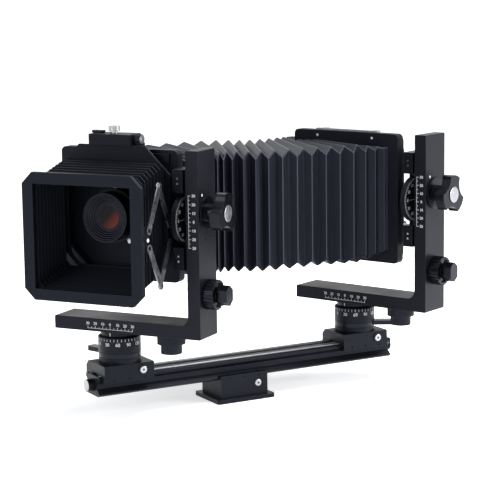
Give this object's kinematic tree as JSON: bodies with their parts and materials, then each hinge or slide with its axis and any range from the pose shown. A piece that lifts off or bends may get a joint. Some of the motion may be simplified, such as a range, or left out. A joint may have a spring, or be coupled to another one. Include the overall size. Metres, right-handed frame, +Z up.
{
  "type": "view camera",
  "caption": "Large-format view camera: pleated bellows between two L-shaped geared standards on a monorail, with a folding compendium hood and a tripod clamp.",
  "frame": {"origin": "centre of the tripod socket at the underside of the base plate", "axes": "+Z up, +Y along the rail towards the focusing screen, +X towards the side with the uprights"},
  "size_m": [0.2663, 0.5184, 0.3424],
  "materials": {
    "anodised_black": "satin black anodised",
    "black_paint": "fine textured black paint",
    "polished_steel": "polished",
    "black_plastic": "satin moulded",
    "bellows_cloth": "coated bellows cloth",
    "lens_glass": "coated optical glass",
    "ground_glass": "ground on one side"
  },
  "bodies": {
    "tripod_clamp": {"base_plate": "anodised_black", "clamp_body": "anodised_black"},
    "clamp_jaw": {"clamp_jaw": "anodised_black"},
    "clamp_knob": {"clamp_knob": "black_plastic"},
    "rail": {"rail": "anodised_black", "rail_rods": "polished_steel", "rail_rack": "polished_steel", "rail_ends": "anodised_black", "main_bellows": "bellows_cloth"},
    "front_carriage": {"front_carriage": "anodised_black", "front_swing_base": "anodised_black"},
    "front_focus_knob": {"front_focus_knob": "black_plastic"},
    "front_swing_lever": {"front_swing_lever": "anodised_black"},
    "front_shift_knob": {"front_shift_knob": "black_plastic"},
    "front_standard": {"front_standard": "anodised_black"},
    "front_rise_knob": {"front_rise_knob": "black_plastic"},
    "front_rise_wing": {"front_rise_wing": "black_plastic"},
    "front_rise_screw": {"front_rise_screw": "polished_steel"},
    "front_lock_knob": {"front_lock_knob": "black_plastic"},
    "front_carrier": {"front_carrier": "anodised_black"},
    "front_swing": {"front_swing_collar": "anodised_black"},
    "rear_carriage": {"rear_carriage": "anodised_black", "rear_swing_base": "anodised_black"},
    "rear_focus_knob": {"rear_focus_knob": "black_plastic"},
    "rear_swing_lever": {"rear_swing_lever": "anodised_black"},
    "rear_shift_knob": {"rear_shift_knob": "black_plastic"},
    "rear_standard": {"rear_standard": "anodised_black"},
    "rear_rise_knob": {"rear_rise_knob": "black_plastic"},
    "rear_rise_wing": {"rear_rise_wing": "black_plastic"},
    "rear_rise_screw": {"rear_rise_screw": "polished_steel"},
    "rear_lock_knob": {"rear_lock_knob": "black_plastic"},
    "rear_carrier": {"rear_carrier": "anodised_black"},
    "rear_swing": {"rear_swing_collar": "anodised_black"},
    "front_frame": {"front_frame": "black_paint", "front_tilt_dial": "anodised_black", "lens_board": "black_paint", "shutter": "anodised_black", "lens_barrel": "anodised_black", "lens_glass": "lens_glass", "hood_plate": "black_paint", "hood_clamp": "black_paint", "hood_bellows": "bellows_cloth"},
    "rear_frame": {"rear_frame": "black_paint", "rear_tilt_dial": "anodised_black", "camera_back": "black_paint", "back_springs": "polished_steel"},
    "screen_frame": {"screen_frame": "black_paint", "focusing_screen": "ground_glass"},
    "back_catch": {"back_catch": "polished_steel"},
    "board_slide": {"board_slide": "polished_steel"},
    "shutter_levers": {"shutter_levers": "polished_steel"},
    "hood_thumb_knob": {"hood_thumb_knob": "polished_steel"},
    "hood_side_knob": {"hood_side_knob": "polished_steel"},
    "hood_latch": {"hood_latch": "polished_steel"},
    "hood_front": {"hood_front": "black_paint"},
    "hood_links_rear_upper": {"hood_links_rear_upper": "polished_steel"},
    "hood_links_rear_lower": {"hood_links_rear_lower": "polished_steel"},
    "hood_links_front_upper": {"hood_links_front_upper": "polished_steel"},
    "hood_links_front_lower": {"hood_links_front_lower": "polished_steel"}
  },
  "joints": [
    {"name": "clamp_jaw_slide", "type": "slide", "parent": "tripod_clamp", "child": "clamp_jaw", "axis": [-1, 0, 0], "range_m": [0, 0.0015]},
    {"name": "clamp_knob_turn", "type": "hinge", "parent": "clamp_jaw", "child": "clamp_knob", "pos_m": [-0.0253, 0.0186, 0.0196], "axis": [1, 0, 0], "range_deg": [-5, 440]},
    {"name": "rail_slide", "type": "slide", "parent": "tripod_clamp", "child": "rail", "axis": [0, 1, 0], "range_m": [-0.1, 0.1]},
    {"name": "front_focus", "type": "slide", "parent": "rail", "child": "front_carriage", "axis": [0, 1, 0], "range_m": [0, 0.03], "deforming": ["main_bellows"]},
    {"name": "front_focus_knob_turn", "type": "hinge", "parent": "front_carriage", "child": "front_focus_knob", "pos_m": [-0.0263, -0.1368, 0.0557], "axis": [1, 0, 0], "range_deg": [-270, 5]},
    {"name": "front_swing_lock", "type": "hinge", "parent": "front_carriage", "child": "front_swing_lever", "pos_m": [0, -0.1546, 0.0732], "axis": [0, 0, 1], "range_deg": [0, 40]},
    {"name": "front_swing", "type": "hinge", "parent": "front_carriage", "child": "front_swing", "pos_m": [0, -0.1546, 0.09], "axis": [0, 0, 1], "range_deg": [-70.2, 4.8], "deforming": ["main_bellows"]},
    {"name": "front_shift_knob_turn", "type": "hinge", "parent": "front_swing", "child": "front_shift_knob", "pos_m": [0.05679, -0.11454, 0.095], "axis": [0, 0, 1], "range_deg": [-270, 270]},
    {"name": "front_shift", "type": "slide", "parent": "front_swing", "child": "front_standard", "axis": [0.8171, 0.5764, 0], "range_m": [-0.03, 0.03], "deforming": ["main_bellows"]},
    {"name": "front_rise_knob_turn", "type": "hinge", "parent": "front_standard", "child": "front_rise_knob", "pos_m": [0.0974, -0.08589, 0.1519], "axis": [0.8171, 0.5764, 0], "range_deg": [-835, 835]},
    {"name": "front_rise_lock", "type": "hinge", "parent": "front_rise_knob", "child": "front_rise_wing", "pos_m": [0.10827, -0.07822, 0.1519], "axis": [0.8171, 0.5764, 0], "range_deg": [0, 90]},
    {"name": "front_rise_screw_turn", "type": "hinge", "parent": "front_standard", "child": "front_rise_screw", "pos_m": [0.084, -0.08519, 0.2], "axis": [0, 0, 1], "range_deg": [-2705, 2705]},
    {"name": "front_carrier_lock", "type": "hinge", "parent": "front_standard", "child": "front_lock_knob", "pos_m": [0.0974, -0.08589, 0.2469], "axis": [0.8171, 0.5764, 0], "range_deg": [0, 90]},
    {"name": "front_rise", "type": "slide", "parent": "front_standard", "child": "front_carrier", "axis": [0, 0, 1], "range_m": [-0.03, 0.03], "deforming": ["main_bellows"]},
    {"name": "front_tilt", "type": "hinge", "parent": "front_carrier", "child": "front_frame", "pos_m": [0.07354, -0.10272, 0.2379], "axis": [0.8171, 0.5764, 0], "range_deg": [-15, 15], "deforming": ["main_bellows"]},
    {"name": "rear_focus", "type": "slide", "parent": "rail", "child": "rear_carriage", "axis": [0, 1, 0], "range_m": [-0.03, 0], "deforming": ["main_bellows"]},
    {"name": "rear_focus_knob_turn", "type": "hinge", "parent": "rear_carriage", "child": "rear_focus_knob", "pos_m": [-0.0263, 0.1927, 0.0557], "axis": [1, 0, 0], "range_deg": [-5, 270]},
    {"name": "rear_swing_lock", "type": "hinge", "parent": "rear_carriage", "child": "rear_swing_lever", "pos_m": [0, 0.1749, 0.0732], "axis": [0, 0, 1], "range_deg": [0, 40]},
    {"name": "rear_swing", "type": "hinge", "parent": "rear_carriage", "child": "rear_swing", "pos_m": [0, 0.1749, 0.09], "axis": [0, 0, 1], "range_deg": [-58.2, 16.8], "deforming": ["main_bellows"]},
    {"name": "rear_shift_knob_turn", "type": "hinge", "parent": "rear_swing", "child": "rear_shift_knob", "pos_m": [0.06388, 0.20228, 0.095], "axis": [0, 0, 1], "range_deg": [-270, 270]},
    {"name": "rear_shift", "type": "slide", "parent": "rear_swing", "child": "rear_standard", "axis": [0.9191, 0.3939, 0], "range_m": [-0.03, 0.03], "deforming": ["main_bellows"]},
    {"name": "rear_rise_knob_turn", "type": "hinge", "parent": "rear_standard", "child": "rear_rise_knob", "pos_m": [0.10956, 0.22186, 0.1519], "axis": [0.9191, 0.3939, 0], "range_deg": [-835, 835]},
    {"name": "rear_rise_lock", "type": "hinge", "parent": "rear_rise_knob", "child": "rear_rise_wing", "pos_m": [0.12179, 0.2271, 0.1519], "axis": [0.9191, 0.3939, 0], "range_deg": [0, 90]},
    {"name": "rear_rise_screw_turn", "type": "hinge", "parent": "rear_standard", "child": "rear_rise_screw", "pos_m": [0.09659, 0.22533, 0.2], "axis": [0, 0, 1], "range_deg": [-2705, 2705]},
    {"name": "rear_carrier_lock", "type": "hinge", "parent": "rear_standard", "child": "rear_lock_knob", "pos_m": [0.10956, 0.22186, 0.2469], "axis": [0.9191, 0.3939, 0], "range_deg": [0, 90]},
    {"name": "rear_rise", "type": "slide", "parent": "rear_standard", "child": "rear_carrier", "axis": [0, 0, 1], "range_m": [-0.03, 0.03], "deforming": ["main_bellows"]},
    {"name": "rear_tilt", "type": "hinge", "parent": "rear_carrier", "child": "rear_frame", "pos_m": [0.08272, 0.21035, 0.2379], "axis": [0.9191, 0.3939, 0], "range_deg": [-15, 15], "deforming": ["main_bellows"]},
    {"name": "board_slide_move", "type": "slide", "parent": "front_frame", "child": "board_slide", "axis": [0.8171, 0.5764, 0], "range_m": [0, 0.012]},
    {"name": "shutter_lever_turn", "type": "hinge", "parent": "front_frame", "child": "shutter_levers", "pos_m": [0, -0.1546, 0.2379], "axis": [-0.5764, 0.8171, 0], "range_deg": [0, 30]},
    {"name": "hood_thumb_knob_turn", "type": "hinge", "parent": "front_frame", "child": "hood_thumb_knob", "pos_m": [0, -0.1546, 0.3349], "axis": [0, 0, 1], "range_deg": [-360, 360]},
    {"name": "hood_side_knob_turn", "type": "hinge", "parent": "front_frame", "child": "hood_side_knob", "pos_m": [0.02206, -0.13904, 0.32725], "axis": [0.8171, 0.5764, 0], "range_deg": [-360, 360]},
    {"name": "hood_latch_turn", "type": "hinge", "parent": "front_frame", "child": "hood_latch", "pos_m": [-0.01716, -0.1667, 0.3339], "axis": [0, 0, 1], "range_deg": [0, 90]},
    {"name": "hood_extension", "type": "slide", "parent": "front_frame", "child": "hood_front", "axis": [-0.5764, 0.8171, 0], "range_m": [0, 0.036], "deforming": ["hood_bellows"]},
    {"name": "hood_link_rear_upper_turn", "type": "hinge", "parent": "front_frame", "child": "hood_links_rear_upper", "pos_m": [0.00865, -0.16686, 0.2329], "axis": [0.8171, 0.5764, 0], "range_deg": [-21.37, 1]},
    {"name": "hood_link_rear_lower_turn", "type": "hinge", "parent": "front_frame", "child": "hood_links_rear_lower", "pos_m": [0.00865, -0.16686, 0.2129], "axis": [0.8171, 0.5764, 0], "range_deg": [-1, 21.37]},
    {"name": "hood_link_front_upper_turn", "type": "hinge", "parent": "hood_links_rear_upper", "child": "hood_links_front_upper", "pos_m": [0.02378, -0.18831, 0.2799], "axis": [0.8171, 0.5764, 0], "range_deg": [-1, 42.74]},
    {"name": "hood_link_front_lower_turn", "type": "hinge", "parent": "hood_links_rear_lower", "child": "hood_links_front_lower", "pos_m": [0.02378, -0.18831, 0.1659], "axis": [0.8171, 0.5764, 0], "range_deg": [-42.74, 1]},
    {"name": "screen_frame_lift", "type": "slide", "parent": "rear_frame", "child": "screen_frame", "axis": [-0.3939, 0.9191, 0], "range_m": [0, 0.004], "stiffness_N_per_m": 2500, "springref_m": -0.002, "deforming": ["back_springs"]},
    {"name": "back_catch_slide", "type": "slide", "parent": "rear_frame", "child": "back_catch", "axis": [0.9191, 0.3939, 0], "range_m": [0, 0.006]}
  ],
  "couplings": [
    {"joint": "clamp_knob_turn", "follows": "clamp_jaw_slide", "rad_per_m": 5026.5},
    {"joint": "front_focus_knob_turn", "follows": "front_focus", "rad_per_m": -153.85},
    {"joint": "front_shift_knob_turn", "follows": "front_shift", "rad_per_m": -153.85},
    {"joint": "front_rise_screw_turn", "follows": "front_rise", "rad_per_m": 1570.8},
    {"joint": "front_rise_knob_turn", "follows": "front_rise", "rad_per_m": 483.32},
    {"joint": "rear_focus_knob_turn", "follows": "rear_focus", "rad_per_m": -153.85},
    {"joint": "rear_shift_knob_turn", "follows": "rear_shift", "rad_per_m": -153.85},
    {"joint": "rear_rise_screw_turn", "follows": "rear_rise", "rad_per_m": 1570.8},
    {"joint": "rear_rise_knob_turn", "follows": "rear_rise", "rad_per_m": 483.32},
    {"joint": "hood_link_rear_upper_turn", "follows": "hood_extension", "rad_per_m": -9.8749},
    {"joint": "hood_link_rear_lower_turn", "follows": "hood_extension", "rad_per_m": 9.8749},
    {"joint": "hood_link_front_upper_turn", "follows": "hood_extension", "rad_per_m": 19.75},
    {"joint": "hood_link_front_lower_turn", "follows": "hood_extension", "rad_per_m": -19.75}
  ]
}
